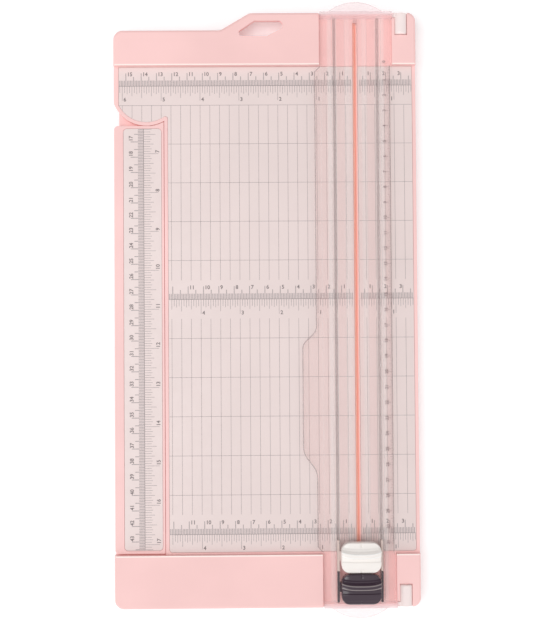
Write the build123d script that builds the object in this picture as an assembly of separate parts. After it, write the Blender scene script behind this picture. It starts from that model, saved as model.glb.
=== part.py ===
from build123d import *

import os

# Desk paper trimmer with a hinged clear cutting rail. Millimetres, +Z up.
# The base lies flat, the cutting line runs along Y, and the back edge is towards +Y.

# Base
BODY_HALF_X = 98.6
BODY_HALF_Y = 193.0
BACK_LOW_Y = 181.8
BACK_SLOPE_X = (-28.8, -9.8)
SLOPE_ROUND = 6.0
BODY_CORNER = 6.0
COVER_EDGE_ROUND = 2.0
LEDGE_Y = 158.75
SHELL_BOTTOM_Z = 1.5
RIM_Z = 10.2
DECK_Z = 8.5
PAPER_Z = 10.0
COVER_Z = 14.5
WALL = 2.2
LOW_CAVITY_Z = 6.4
HIGH_CAVITY_Z = 12.3
BOTTOM_PLATE_TOP_Z = 3.0
PLATE_GAP = 0.3
LET_IN_GAP = 0.1

# Well outside the part, for cuts that run right through it
FAR = 240.0

# Cutting line and the channel that the rail lies in
CUT_X = 59.2
CHANNEL_HALF = 23.8
CHANNEL_Z = 10.4
STRIP_HALF = 1.5
STRIP_HALF_Y = 187.0
STRIP_BOTTOM_Z = 8.0
GROOVE_HALF = 0.5
GROOVE_DEPTH = 0.8

# Handle hole in the back cover
HANDLE_POINTS = [
    (-17.0, 180.6), (-16.2, 177.6), (1.5, 177.4), (11.2, 182.4),
    (12.0, 185.6), (10.0, 187.5), (-6.8, 187.5),
]
HANDLE_ROUND = 1.2
HANDLE_BLOCK_X = (-21.5, 15.5)
HANDLE_BLOCK_Y = 175.0
HANDLE_PLATE_Z = 11.0

# Swing-out ruler arm and its pivot
PIVOT = (-77.4, 142.9)
EAR_R = 22.8
EAR_STRAIGHT_Y = 6.5
EAR_PLATE_R = 20.5
ARM_EDGE_X = -65.9
PLATE_EDGE_X = -63.6
PLATE_LEFT_X = -95.7
PLATE_RIGHT_X = 96.4
PLATE_INNER_ROUND = 1.5
PLATE_BACK_GAP = 0.2
PLATE_FRONT_GAP = 1.2
PLATE_FRONT_CORNER = 2.0
ARM_GAP = 0.3
ARM_END_Y = -158.3
ARM_TOP_Y = 120.0
ARM_BOTTOM_Z = 2.0
ARM_HORN_X = -77.0
ARM_PLATE_X = (-92.6, -67.8)
ARM_PLATE_Y = (-156.2, 118.2)
ARM_PLATE_Z = 8.8
ARM_PLATE_CORNER = 2.3
ARM_CORNER = 2.5
NECK_LEFT = 18.4
NECK_RIGHT = 11.2
NECK_Z = (2.9, 6.1)
SWEEP_R = 31.0
BOSS_R = 4.0
BOSS_BOTTOM_Z = 2.8
RUNNING_GAP = 0.05
PAD_R = 5.0
PAD_Y = (-142.0, 96.0)

# Screws and feet
PILOT_R = 1.25
SHANK_R = 1.2
SCREW_HEAD_R = 2.9
SCREW_HEAD_Z = (1.6, 2.6)
SCREW_SLOT = (3.2, 0.7, 1.0)
PIVOT_SCREW_HEAD_Z = (1.1, 2.1)
WASHER_R = 7.0
SCREW_TIP_Z = 5.8
PILOT_TOP_Z = 6.2
SCREW_BOSS_R = 4.0
SHELL_SCREWS = [
    (-86, -182), (0, -182), (88, -172), (-50, -90), (88, -90),
    (-50, 30), (88, 30), (-50, 120), (88, 120), (-40, 170), (26, 172),
]
FOOT_R = 6.0
FOOT_POINTS = [(-88, -184), (88, -184), (-52, -30), (88, -30), (-42, 174), (88, 176)]

# Hinge of the rail
HINGE_X = 88.85
HINGE_Z = 12.0
BARREL_R = 4.35
BARREL_Y = (178.2, 191.9)
BARREL_ROUND = 1.2
HINGE_ARM_Z = 14.8
PIN_R = 1.5
PIN_Y = (168.0, 187.0)

# Clear rail
RAIL_Z = (11.0, 13.0)
RAIL_IN_CHANNEL = 23.5
RAIL_BESIDE_HINGE = 23.1
RAIL_LEFT = 27.0
RAIL_RIGHT = 22.5
RAIL_END_Y = 189.3
RAIL_SHOULDER_Y = 157.9
GRIP_REACH = 36.0
GRIP_Y = (-11.0, -27.0, -89.5, -110.5)
SLOT_HALF = 1.0
SLOT_END_Y = 185.2
RIB_OFFSETS = (3.9, 6.0)
RIB_HALF = 0.3
RIB_TOP_Z = 13.4
GUIDE_WALL = (15.0, 16.0)
GUIDE_LIP = 13.2
LIP_Z = 17.3
GUIDE_TOP_Z = 18.5
END_WALL_OUT_Y = 192.2
TAB_HALF = 20.0
TAB_REACH_Y = 200.0
CAP_BOTTOM_Z = 10.8
TAB_TOP_Z = 13.0

# Sliding heads
CUTTER_Y = -179.0
SCORER_Y = -159.1
CARRIAGE_HALF_X = 11.4
CARRIAGE_Z = (13.8, 17.0)
RUNNER_X = (13.4, 14.7)
RUNNER_HALF_Y = 9.75
WEB_HALF_Y = 3.0
HEAD_HALF = (12.7, 9.75)
HEAD_CUT = 4.6
HEAD_ROUND = 3.0
HEAD_WALL = 1.4
ABOVE_HEAD_Z = 30.0
NEAR_FACE = ((-10.75, 22.6), (-7.4, 25.0), (-2.6, 26.2))
RIDGE = ((-2.6, 26.2), (-2.2, 25.4), (-0.9, 25.5), (-0.2, 27.2), (0.9, 27.5))
FAR_FACE = ((0.9, 27.5), (5.0, 24.9), (10.75, 24.4))
SKIRT_Z = 19.0
CEILING_Z = 22.6
COLLAR_Z = 20.3
COLLAR_GAP = 0.4
COLLAR_WALL = 1.0
FORK_X = (1.7, 4.0)
FORK_HALF_Y = 6.4
FORK_BOTTOM_Z = 15.3
FORK_WINDOW = (4.5, 7.0)
AXLE_R = 1.0
AXLE_HOLE_R = 1.03
AXLE_Z = 17.9
WHEEL_R = 6.5
WHEEL_ROOM = 0.4
WHEEL_HUB_R = 2.4
WHEEL_HUB_HALF = 1.4
BEVEL = 1.0
EDGE = 0.05
CUTTER_EDGE_HALF = 0.3
SCORER_EDGE_HALF = 0.6
SPRING_X = 7.4
SPRING_R = 2.0
SPRING_WIRE_R = 0.3
SPRING_POCKET_R = 2.6
SPRING_BOTTOM_Z = 15.2
SPRING_TURNS = 5


def block(x, y, z):
    """A box between two limits on each axis."""
    size = [high - low for low, high in (x, y, z)]
    centre = [(high + low) / 2 for low, high in (x, y, z)]
    return Pos(*centre) * Box(*size)


def disc(centre, radius, z):
    """An upright cylinder between two heights."""
    return Pos(centre[0], centre[1], (z[0] + z[1]) / 2) * Cylinder(radius, z[1] - z[0])


def raised(face, z):
    """A flat outline made solid between two heights."""
    return Pos(0, 0, z[0]) * extrude(face, z[1] - z[0])


def rectangle(x, y):
    """A flat rectangle between two limits on each axis."""
    return Pos((x[0] + x[1]) / 2, (y[0] + y[1]) / 2) * Rectangle(x[1] - x[0], y[1] - y[0])


def along_y(x, z, radius, y):
    """A lying cylinder along Y between two limits."""
    return Pos(x, (y[0] + y[1]) / 2, z) * Rot(90, 0, 0) * Cylinder(radius, y[1] - y[0])


def along_x(centre_x, y, z, radius, half):
    """A lying cylinder along X, about its middle."""
    return Pos(centre_x, y, z) * Rot(0, 90, 0) * Cylinder(radius, 2 * half)


def footprint(inset=0.0):
    """The outline of the body, with its sloping step in the back edge."""
    x, y = BODY_HALF_X - inset, BODY_HALF_Y - inset
    low = BACK_LOW_Y - inset
    slope_top = (BACK_SLOPE_X[1] + inset / 2, y)
    slope_foot = (BACK_SLOPE_X[0] + inset / 2, low)
    corners = [(-x, -y), (x, -y), (x, y), slope_top, slope_foot, (-x, low)]
    face = make_face(Polyline(*corners, close=True))
    slope = [v for v in face.vertices() if abs(v.X) < x - 1]
    face = fillet(slope, SLOPE_ROUND)
    outer = [v for v in face.vertices() if abs(abs(v.X) - x) < 0.01 and abs(v.Y) > BACK_LOW_Y - inset - 1]
    return fillet(outer, BODY_CORNER - inset)


def arm_pocket(edge_x, ear_radius, grow=0.0):
    """The space beside the platform that the swing-out arm lies in, less the round ear over its pivot."""
    space = rectangle((-BODY_HALF_X - 5, edge_x), (-LEDGE_Y - grow, PIVOT[1] - EAR_STRAIGHT_Y))
    return space - Pos(*PIVOT) * Circle(ear_radius)


def handle_outline():
    """The slanted finger hole in the back cover."""
    face = make_face(Polyline(*HANDLE_POINTS, close=True))
    return fillet(face.vertices(), HANDLE_ROUND)


def handle_block(grow=0.0):
    """The solid part of the back cover that the finger hole goes through."""
    left, right = HANDLE_BLOCK_X
    return rectangle((left - grow, right + grow), (HANDLE_BLOCK_Y - grow, BODY_HALF_Y))


def handle_recess():
    """The pocket under the handle that leaves the finger hole in a thin plate."""
    left, right = HANDLE_BLOCK_X
    pocket = rectangle((left + WALL, right - WALL), (HANDLE_BLOCK_Y + WALL, BODY_HALF_Y))
    return pocket & footprint(WALL)


def neck_outline():
    """The low disc and neck that join the arm to its pivot."""
    arm = rectangle((-NECK_LEFT, NECK_RIGHT), (-EAR_R - 1.5, 0))
    return Pos(*PIVOT) * (Circle(NECK_LEFT) + arm)


def neck_sweep():
    """The space under the ear that the neck passes through as the arm swings from -Y to -X."""
    quarter = Circle(SWEEP_R) & rectangle((-40, 0), (-40, 0))
    resting = rectangle((0, NECK_RIGHT + 0.5), (-SWEEP_R, 0))
    swung = rectangle((-SWEEP_R, 0), (0, NECK_LEFT + 0.5))
    return Pos(*PIVOT) * (quarter + resting + swung + Circle(NECK_LEFT + 0.5))


def cover(sign):
    """The solid block of the back (+1) or front (-1) cover, with a softened top edge."""
    beyond_ledge = rectangle((-FAR, FAR), sorted((sign * LEDGE_Y, sign * FAR)))
    half = raised(footprint() & beyond_ledge, (SHELL_BOTTOM_Z, COVER_Z))
    outer = [e for e in half.faces().sort_by(Axis.Z)[-1].edges() if abs(e.center().Y) > LEDGE_Y + 1]
    return fillet(outer, COVER_EDGE_ROUND)


def screw_bosses():
    """Posts inside the shell that take the screws of the bottom plate."""
    posts = []
    for x, y in SHELL_SCREWS:
        posts.append(disc((x, y), SCREW_BOSS_R, (BOTTOM_PLATE_TOP_Z, COVER_Z)))
    return posts


def base_shell():
    """The moulded body: rimmed platform, two covers, the ear over the arm's pivot and a hollow underside."""
    shell = raised(footprint(), (SHELL_BOTTOM_Z, RIM_Z))
    shell = shell + cover(1) + cover(-1)
    shell -= raised(arm_pocket(ARM_EDGE_X, EAR_R), (0, COVER_Z))
    shell -= raised(grid_outline(LET_IN_GAP), (DECK_Z, COVER_Z))
    hollow = raised(footprint(WALL), (0, LOW_CAVITY_Z))
    hollow -= raised(arm_pocket(ARM_EDGE_X + WALL, EAR_R - 1, WALL), (0, COVER_Z))
    hollow -= block((-FAR, FAR), (LEDGE_Y - WALL, LEDGE_Y), (BOTTOM_PLATE_TOP_Z, LOW_CAVITY_Z))
    hollow -= raised(handle_block(), (0, COVER_Z))
    for post in screw_bosses():
        hollow -= post
    shell -= hollow
    shell -= raised(neck_sweep(), (0, LOW_CAVITY_Z))
    for sign in (1, -1):
        shell -= high_cavity(sign)
        shell -= channel(sign)
        shell -= hinge_room(sign)
    shell -= block(
        (CUT_X - STRIP_HALF - LET_IN_GAP, CUT_X + STRIP_HALF + LET_IN_GAP),
        (-STRIP_HALF_Y - LET_IN_GAP, STRIP_HALF_Y + LET_IN_GAP),
        (STRIP_BOTTOM_Z, COVER_Z),
    )
    shell -= raised(handle_outline(), (0, COVER_Z))
    shell -= raised(handle_recess(), (0, HANDLE_PLATE_Z))
    shell += disc(PIVOT, BOSS_R, (BOSS_BOTTOM_Z, LOW_CAVITY_Z))
    shell -= disc(PIVOT, PILOT_R, (0, PILOT_TOP_Z))
    for x, y in SHELL_SCREWS:
        shell -= disc((x, y), PILOT_R, (0, PILOT_TOP_Z))
    return shell


def high_cavity(sign):
    """The taller hollow inside a cover, clear of the channel, the handle hole and the hinge block."""
    depth = sorted((sign * (LEDGE_Y + WALL), sign * (BODY_HALF_Y - WALL)))
    left_of_channel = rectangle((-FAR, CUT_X - CHANNEL_HALF - WALL), depth)
    inside = raised(footprint(WALL) & left_of_channel, (LOW_CAVITY_Z - 0.01, HIGH_CAVITY_Z))
    inside -= raised(handle_block(), (0, COVER_Z))
    for post in screw_bosses():
        inside -= post
    return inside


def channel(sign):
    """The channel across a cover that the rail drops into."""
    y = sorted((sign * (LEDGE_Y - 0.5), sign * (BODY_HALF_Y + 2)))
    return block((CUT_X - CHANNEL_HALF, CUT_X + CHANNEL_HALF), y, (CHANNEL_Z, COVER_Z + 1))


def hinge_room(sign):
    """The round pocket for a hinge barrel, its way to the channel and the hole for its pin."""
    y = sorted((sign * (BARREL_Y[0] - 0.4), sign * (BODY_HALF_Y + 2)))
    room = along_y(HINGE_X, HINGE_Z, BARREL_R + 0.4, y)
    way = sorted((sign * (RAIL_END_Y - 0.6), sign * (BODY_HALF_Y + 2)))
    room += block((CUT_X + CHANNEL_HALF - 1, HINGE_X), way, (CHANNEL_Z, COVER_Z + 1))
    pin = sorted((sign * PIN_Y[0], sign * BARREL_Y[0]))
    return room + along_y(HINGE_X, HINGE_Z, PIN_R + 0.02, pin)


def bottom_plate():
    """The flat cover that closes the underside, with its screw holes."""
    beside_arm = rectangle((-FAR, ARM_EDGE_X + WALL + PLATE_GAP), (-LEDGE_Y - WALL - PLATE_GAP, PIVOT[1]))
    pivot_x, pivot_y = PIVOT
    under_ear = rectangle((-FAR, pivot_x + NECK_LEFT + 1), (pivot_y - SWEEP_R - 1, pivot_y + NECK_LEFT + 1))
    plate = footprint(WALL + PLATE_GAP) - beside_arm - under_ear - handle_block(PLATE_GAP)
    solid = raised(plate, (SHELL_BOTTOM_Z, BOTTOM_PLATE_TOP_Z))
    for x, y in SHELL_SCREWS:
        solid -= disc((x, y), SHANK_R + 0.3, (0, COVER_Z))
        solid -= disc((x, y), SCREW_HEAD_R + 0.1, (0, SCREW_HEAD_Z[1]))
    return solid


def grid_outline(grow=0.0):
    """The outline of the printed plate: a rectangle that bends round the ear beside the arm."""
    front, back = -LEDGE_Y + PLATE_FRONT_GAP - grow, LEDGE_Y - PLATE_BACK_GAP + grow
    whole = rectangle((PLATE_LEFT_X - grow, PLATE_RIGHT_X + grow), (front, back))
    beside = arm_pocket(PLATE_EDGE_X - grow, EAR_PLATE_R + grow, 1.0)
    plate = (whole - beside).faces().sort_by(SortBy.AREA)[-1]
    edge = PLATE_EDGE_X - grow
    inner = [v for v in plate.vertices() if abs(v.X - edge) < 0.01 and v.Y > 0]
    plate = fillet(inner, PLATE_INNER_ROUND)
    corners = [v for v in plate.vertices() if abs(v.Y - front) < 0.01]
    return fillet(corners, PLATE_FRONT_CORNER)


def grid_plate(x):
    """One of the two plates with the printed rulers and grid, beside the cutting strip."""
    return raised(grid_outline() & rectangle(x, (-LEDGE_Y, LEDGE_Y)), (DECK_Z, PAPER_Z))


def cutting_strip():
    """The replaceable soft strip under the blade, with its groove."""
    y = (-STRIP_HALF_Y, STRIP_HALF_Y)
    strip = block((CUT_X - STRIP_HALF, CUT_X + STRIP_HALF), y, (STRIP_BOTTOM_Z, PAPER_Z))
    return strip - block((CUT_X - GROOVE_HALF, CUT_X + GROOVE_HALF), y, (PAPER_Z - GROOVE_DEPTH, COVER_Z))


def rubber_feet():
    """Round feet under the bottom plate."""
    return Compound([disc(point, FOOT_R, (0, SHELL_BOTTOM_Z)) for point in FOOT_POINTS])


def screw(point, head_z, tip_z):
    """A pan-head screw that points up, with a cross slot in its head."""
    head = disc(point, SCREW_HEAD_R, head_z)
    for turn in (0, 90):
        head -= Pos(point[0], point[1], head_z[0]) * Rot(0, 0, turn) * Box(*SCREW_SLOT)
    return head + disc(point, SHANK_R, (head_z[1], tip_z))


def shell_screws():
    """The screws that hold the bottom plate."""
    return Compound([screw(point, SCREW_HEAD_Z, SCREW_TIP_Z) for point in SHELL_SCREWS])


def arm_pivot_screw():
    """The screw that the arm turns about, with its head under the spring washer."""
    return screw(PIVOT, PIVOT_SCREW_HEAD_Z, SCREW_TIP_Z)


def arm_spring_washer():
    """The dished washer, drawn flat, that gives the arm its friction."""
    washer = disc(PIVOT, WASHER_R, (PIVOT_SCREW_HEAD_Z[1], BOSS_BOTTOM_Z))
    return washer - disc(PIVOT, SHANK_R + 0.2, (0, COVER_Z))


def hinge_pin(sign):
    """A steel pin from the cover into one hinge barrel."""
    return along_y(HINGE_X, HINGE_Z, PIN_R, sorted((sign * PIN_Y[0], sign * PIN_Y[1])))


def arm_outline(inset=0.0):
    """The raised part of the arm, with the horn that follows the ear."""
    right = ARM_EDGE_X - ARM_GAP - inset
    bar = rectangle((-BODY_HALF_X + inset, right), (ARM_END_Y + inset, ARM_TOP_Y - inset))
    if inset:
        return bar
    corners = [v for v in bar.vertices() if v.X < -BODY_HALF_X + 1]
    bar = fillet(corners, ARM_CORNER)
    horn = rectangle((ARM_HORN_X, right), (ARM_TOP_Y - 2, ARM_TOP_Y + 3))
    return bar + (horn - Pos(*PIVOT) * Circle(EAR_R + ARM_GAP))


def arm_body():
    """The swing-out arm: a ruler bar, and a low neck and disc that turn about the pivot boss."""
    arm = raised(arm_outline(), (ARM_BOTTOM_Z, RIM_Z))
    arm -= raised(arm_outline(WALL), (0, LOW_CAVITY_Z + 0.2))
    for y in PAD_Y:
        centre = ((-BODY_HALF_X + ARM_EDGE_X) / 2, y)
        arm += disc(centre, PAD_R + 1, (ARM_BOTTOM_Z, LOW_CAVITY_Z + 0.3))
    plate = fillet(rectangle(ARM_PLATE_X, ARM_PLATE_Y).vertices(), ARM_PLATE_CORNER)
    arm -= raised(offset(plate, LET_IN_GAP), (ARM_PLATE_Z, COVER_Z))
    arm += raised(neck_outline(), NECK_Z)
    return arm - disc(PIVOT, BOSS_R + RUNNING_GAP, (0, COVER_Z))


def arm_ruler_plate():
    """The printed plate let into the arm."""
    plate = fillet(rectangle(ARM_PLATE_X, ARM_PLATE_Y).vertices(), ARM_PLATE_CORNER)
    return raised(plate, (ARM_PLATE_Z, PAPER_Z))


def arm_pads():
    """Pads under the arm that slide on the table."""
    centre_x = (-BODY_HALF_X + ARM_EDGE_X) / 2
    return Compound([disc((centre_x, y), PAD_R, (0, ARM_BOTTOM_Z)) for y in PAD_Y])


def rail_outline():
    """The flat outline of the rail: narrow in the channels, wider over the platform, with a grip."""
    left, right = CUT_X - RAIL_LEFT, CUT_X + RAIL_RIGHT
    narrow_left, narrow_right = CUT_X - RAIL_IN_CHANNEL, CUT_X + RAIL_BESIDE_HINGE
    end, shoulder = RAIL_END_Y, RAIL_SHOULDER_Y
    step = narrow_left - left
    widened = shoulder + 2 * (narrow_right - right)
    grip = CUT_X - GRIP_REACH
    start, flat_start, flat_end, stop = GRIP_Y
    path = Polyline((left, start), (left, shoulder - step), (narrow_left, shoulder), (narrow_left, end))
    path += Polyline((narrow_left, end), (narrow_right, end), (narrow_right, widened), (right, shoulder))
    path += Polyline((right, shoulder), (right, -shoulder), (narrow_right, -widened), (narrow_right, -end))
    path += Polyline((narrow_right, -end), (narrow_left, -end), (narrow_left, -shoulder))
    path += Polyline((narrow_left, -shoulder), (left, -shoulder + step), (left, stop))
    path += Spline((left, stop), (grip, flat_end), tangents=[(0, 1), (0, 1)])
    path += Line((grip, flat_end), (grip, flat_start))
    path += Spline((grip, flat_start), (left, start), tangents=[(0, 1), (0, 1)])
    return make_face(path)


def rail_beam():
    """The clear rail: a flange with a slot for the wheels, thin ribs and two inward-facing guides."""
    beam = raised(rail_outline(), RAIL_Z)
    ends = (-RAIL_END_Y, RAIL_END_Y)
    for side in (1, -1):
        wall = sorted(CUT_X + side * x for x in GUIDE_WALL)
        beam += block(wall, ends, (RAIL_Z[1] - 0.5, GUIDE_TOP_Z))
        lip = sorted((CUT_X + side * GUIDE_LIP, CUT_X + side * GUIDE_WALL[1]))
        beam += block(lip, ends, (LIP_Z, GUIDE_TOP_Z))
        for rib in RIB_OFFSETS:
            centre = CUT_X + side * rib
            beam += block((centre - RIB_HALF, centre + RIB_HALF), ends, (RAIL_Z[1] - 0.5, RIB_TOP_Z))
    slot = rectangle((CUT_X - SLOT_HALF, CUT_X + SLOT_HALF), (-SLOT_END_Y, SLOT_END_Y))
    return beam - raised(slot, (0, COVER_Z))


def rail_end_cap(sign):
    """The clear end piece: an end wall with a finger tab, and the hinge barrel on an arm."""
    y = sorted((sign * RAIL_END_Y, sign * END_WALL_OUT_Y))
    cap = block((CUT_X - RAIL_IN_CHANNEL, CUT_X + RAIL_IN_CHANNEL), y, (CAP_BOTTOM_Z, GUIDE_TOP_Z))
    cap += block((CUT_X + RAIL_IN_CHANNEL - 1, HINGE_X), y, (CAP_BOTTOM_Z, HINGE_ARM_Z))
    wall_y = sign * (END_WALL_OUT_Y - 0.5)
    arc = ThreePointArc((CUT_X - TAB_HALF, wall_y), (CUT_X, sign * TAB_REACH_Y), (CUT_X + TAB_HALF, wall_y))
    tab = make_face(arc + Line(arc @ 1, arc @ 0))
    cap += raised(tab, (CAP_BOTTOM_Z, TAB_TOP_Z))
    barrel = along_y(HINGE_X, HINGE_Z, BARREL_R, sorted(sign * v for v in BARREL_Y))
    inner_rim = [e for e in barrel.edges().filter_by(GeomType.CIRCLE) if abs(e.center().Y) < BARREL_Y[0] + 1]
    cap += fillet(inner_rim, BARREL_ROUND)
    pin_room = sorted((sign * (BARREL_Y[0] - 1), sign * (PIN_Y[1] + 0.3)))
    return cap - along_y(HINGE_X, HINGE_Z, PIN_R + RUNNING_GAP, pin_room)


def head_outline(y, inset=0.0):
    """The plan of a head: a rectangle with well-rounded cut corners."""
    width, depth = 2 * (HEAD_HALF[0] - inset), 2 * (HEAD_HALF[1] - inset)
    face = chamfer(Rectangle(width, depth).vertices(), HEAD_CUT - inset * 0.6)
    return Pos(CUT_X, y) * fillet(face.vertices(), HEAD_ROUND)


def head_profile(y):
    """The side view of a head: a dished far face, a ridge, a shallow groove and a rounded near face."""
    near, far = NEAR_FACE[0], FAR_FACE[-1]
    low = SKIRT_Z - 1
    path = Polyline((near[0], low), near)
    path += ThreePointArc(*NEAR_FACE)
    path += Polyline(*RIDGE)
    path += ThreePointArc(*FAR_FACE)
    path += Polyline(far, (far[0], low), (near[0], low))
    half = HEAD_HALF[0] + 1
    across = Plane(origin=(CUT_X - half, y, 0), x_dir=(0, 1, 0), z_dir=(1, 0, 0))
    return extrude(across * make_face(path), 2 * half)


def head(y):
    """The pressed head: a hollow cap with the fork that holds the wheel's axle."""
    cap = raised(head_outline(y), (SKIRT_Z, ABOVE_HEAD_Z)) & head_profile(y)
    cap -= raised(head_outline(y, HEAD_WALL), (0, CEILING_Z))
    for side in (1, -1):
        x = sorted(CUT_X + side * v for v in FORK_X)
        cap += block(x, (y - FORK_HALF_Y, y + FORK_HALF_Y), (FORK_BOTTOM_Z, CEILING_Z + 0.5))
    cap -= along_x(CUT_X, y, AXLE_Z, WHEEL_R + WHEEL_ROOM, FORK_X[0])
    return cap - along_x(CUT_X, y, AXLE_Z, AXLE_HOLE_R, FORK_X[1] + 1)


def carriage(y):
    """The sliding part of a head: a plate between the guides, with two runners and a collar on top."""
    body = raised(head_outline(y, HEAD_HALF[0] - CARRIAGE_HALF_X), CARRIAGE_Z)
    for side in (1, -1):
        runner = sorted(CUT_X + side * v for v in RUNNER_X)
        body += block(runner, (y - RUNNER_HALF_Y, y + RUNNER_HALF_Y), CARRIAGE_Z)
        web = sorted((CUT_X + side * (CARRIAGE_HALF_X - 1), CUT_X + side * (RUNNER_X[0] + 0.3)))
        body += block(web, (y - WEB_HALF_Y, y + WEB_HALF_Y), CARRIAGE_Z)
    inner = HEAD_WALL + COLLAR_GAP
    collar = head_outline(y, inner) - head_outline(y, inner + COLLAR_WALL)
    body += raised(collar, (CARRIAGE_Z[1] - 0.5, COLLAR_Z))
    window_x, window_y = FORK_WINDOW
    body -= block((CUT_X - window_x, CUT_X + window_x), (y - window_y, y + window_y), (0, ABOVE_HEAD_Z))
    for side in (1, -1):
        body -= disc((CUT_X + side * SPRING_X, y), SPRING_POCKET_R, (SPRING_BOTTOM_Z, ABOVE_HEAD_Z))
    return body


def axle(y):
    """The steel axle across the fork."""
    return along_x(CUT_X, y, AXLE_Z, AXLE_R, FORK_X[1])


def wheel(y, edge_half):
    """A wheel with a hub, tapering to its rim."""
    section = Polyline(
        (AXLE_R + RUNNING_GAP, WHEEL_HUB_HALF), (WHEEL_HUB_R, WHEEL_HUB_HALF), (WHEEL_HUB_R, edge_half),
        (WHEEL_R - BEVEL, edge_half), (WHEEL_R, EDGE), (WHEEL_R, -EDGE), (WHEEL_R - BEVEL, -edge_half),
        (WHEEL_HUB_R, -edge_half), (WHEEL_HUB_R, -WHEEL_HUB_HALF), (AXLE_R + RUNNING_GAP, -WHEEL_HUB_HALF),
        close=True,
    )
    turned = revolve(make_face(section), Axis.Y)
    return Pos(CUT_X, y, AXLE_Z) * Rot(0, 0, 90) * turned


def spring(point):
    """A coil spring between the carriage and the ceiling of the head."""
    height = CEILING_Z - SPRING_BOTTOM_Z - 2 * SPRING_WIRE_R
    path = Helix(height / SPRING_TURNS, height, SPRING_R)
    start = Plane(origin=path @ 0, z_dir=path % 0)
    coil = sweep(start * Circle(SPRING_WIRE_R), path, is_frenet=True)
    return Pos(point[0], point[1], SPRING_BOTTOM_Z + SPRING_WIRE_R) * coil


def springs(y):
    """The two return springs of a head."""
    return Compound([spring((CUT_X + side * SPRING_X, y)).solid() for side in (-1, 1)])


def main():
    pieces = {
        "base_shell": base_shell(),
        "bottom_plate": bottom_plate(),
        "grid_plate_left": grid_plate((-BODY_HALF_X, CUT_X - STRIP_HALF - LET_IN_GAP)),
        "grid_plate_right": grid_plate((CUT_X + STRIP_HALF + LET_IN_GAP, BODY_HALF_X)),
        "cutting_strip": cutting_strip(),
        "rubber_feet": rubber_feet(),
        "shell_screws": shell_screws(),
        "arm_pivot_screw": arm_pivot_screw(),
        "arm_spring_washer": arm_spring_washer(),
        "hinge_pin_back": hinge_pin(1),
        "hinge_pin_front": hinge_pin(-1),
        "arm_body": arm_body(),
        "arm_ruler_plate": arm_ruler_plate(),
        "arm_pads": arm_pads(),
        "rail_beam": rail_beam(),
        "rail_end_cap_back": rail_end_cap(1),
        "rail_end_cap_front": rail_end_cap(-1),
    }
    tools = (("cutter", CUTTER_Y, CUTTER_EDGE_HALF), ("scorer", SCORER_Y, SCORER_EDGE_HALF))
    for name, y, edge_half in tools:
        pieces[name + "_carriage"] = carriage(y)
        pieces[name + "_head"] = head(y)
        pieces[name + "_axle"] = axle(y)
        pieces[name + "_wheel"] = wheel(y, edge_half)
        pieces[name + "_springs"] = springs(y)
    os.makedirs("parts", exist_ok=True)
    for name, piece in pieces.items():
        export_step(piece, "parts/" + name + ".step")


main()
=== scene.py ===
"""A desk paper trimmer: printed platform, swing-out ruler arm, hinged clear rail and two sliding heads."""

import math

import bmesh
import bpy
from mathutils import Matrix, Vector


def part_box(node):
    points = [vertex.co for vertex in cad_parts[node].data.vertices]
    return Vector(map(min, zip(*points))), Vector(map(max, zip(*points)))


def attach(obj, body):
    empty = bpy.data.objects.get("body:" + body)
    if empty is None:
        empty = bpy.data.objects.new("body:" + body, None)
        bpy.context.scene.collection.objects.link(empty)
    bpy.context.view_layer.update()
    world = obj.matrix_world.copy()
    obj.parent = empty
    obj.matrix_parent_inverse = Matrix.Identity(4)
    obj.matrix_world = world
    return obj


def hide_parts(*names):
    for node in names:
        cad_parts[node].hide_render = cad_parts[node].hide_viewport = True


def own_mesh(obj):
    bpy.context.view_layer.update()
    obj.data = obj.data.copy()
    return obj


bl_info = {
    "name": "Paper Trimmer",
    "version": (1, 0, 0),
    "blender": (4, 5, 0),
    "location": "View3D > Sidebar > Trimmer",
    "description": "Builds the looks of a desk paper trimmer around its working parts",
    "category": "Add Mesh",
}

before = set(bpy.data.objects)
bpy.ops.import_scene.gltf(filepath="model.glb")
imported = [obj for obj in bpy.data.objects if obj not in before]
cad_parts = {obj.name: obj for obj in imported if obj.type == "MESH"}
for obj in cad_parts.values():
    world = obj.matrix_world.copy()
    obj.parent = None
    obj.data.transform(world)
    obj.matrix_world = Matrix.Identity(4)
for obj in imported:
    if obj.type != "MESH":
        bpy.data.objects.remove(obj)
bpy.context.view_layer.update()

MM = 0.001
INCH = 0.0254
SIXTEENTH = INCH / 16
CM = 0.01

# Places read from the working parts
PLATE_LOW, PLATE_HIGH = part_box("grid_plate_left")
RIGHT_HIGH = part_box("grid_plate_right")[1]
STRIP_LOW, STRIP_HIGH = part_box("cutting_strip")
RAIL_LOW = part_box("rail_beam")[0]
ARM_PLATE_LOW, ARM_PLATE_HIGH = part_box("arm_ruler_plate")
WASHER_LOW, WASHER_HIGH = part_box("arm_spring_washer")
COVER_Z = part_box("base_shell")[1][2]
CUT_X = (STRIP_LOW[0] + STRIP_HIGH[0]) / 2
PAPER_Z = PLATE_HIGH[2]
PIVOT = Vector(((WASHER_LOW[0] + WASHER_HIGH[0]) / 2, (WASHER_LOW[1] + WASHER_HIGH[1]) / 2, 0))

# Sizes of the working parts that their boxes don't give
LEDGE_Y = PLATE_HIGH[1] + 0.2 * MM
EAR_PLATE_R = 20.5 * MM
ARM_SIDE_X = -63.6 * MM
RAIL_TOP_Z = RAIL_LOW[2] + 2.0 * MM
FLANGE_INSIDE = 21.5 * MM

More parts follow.
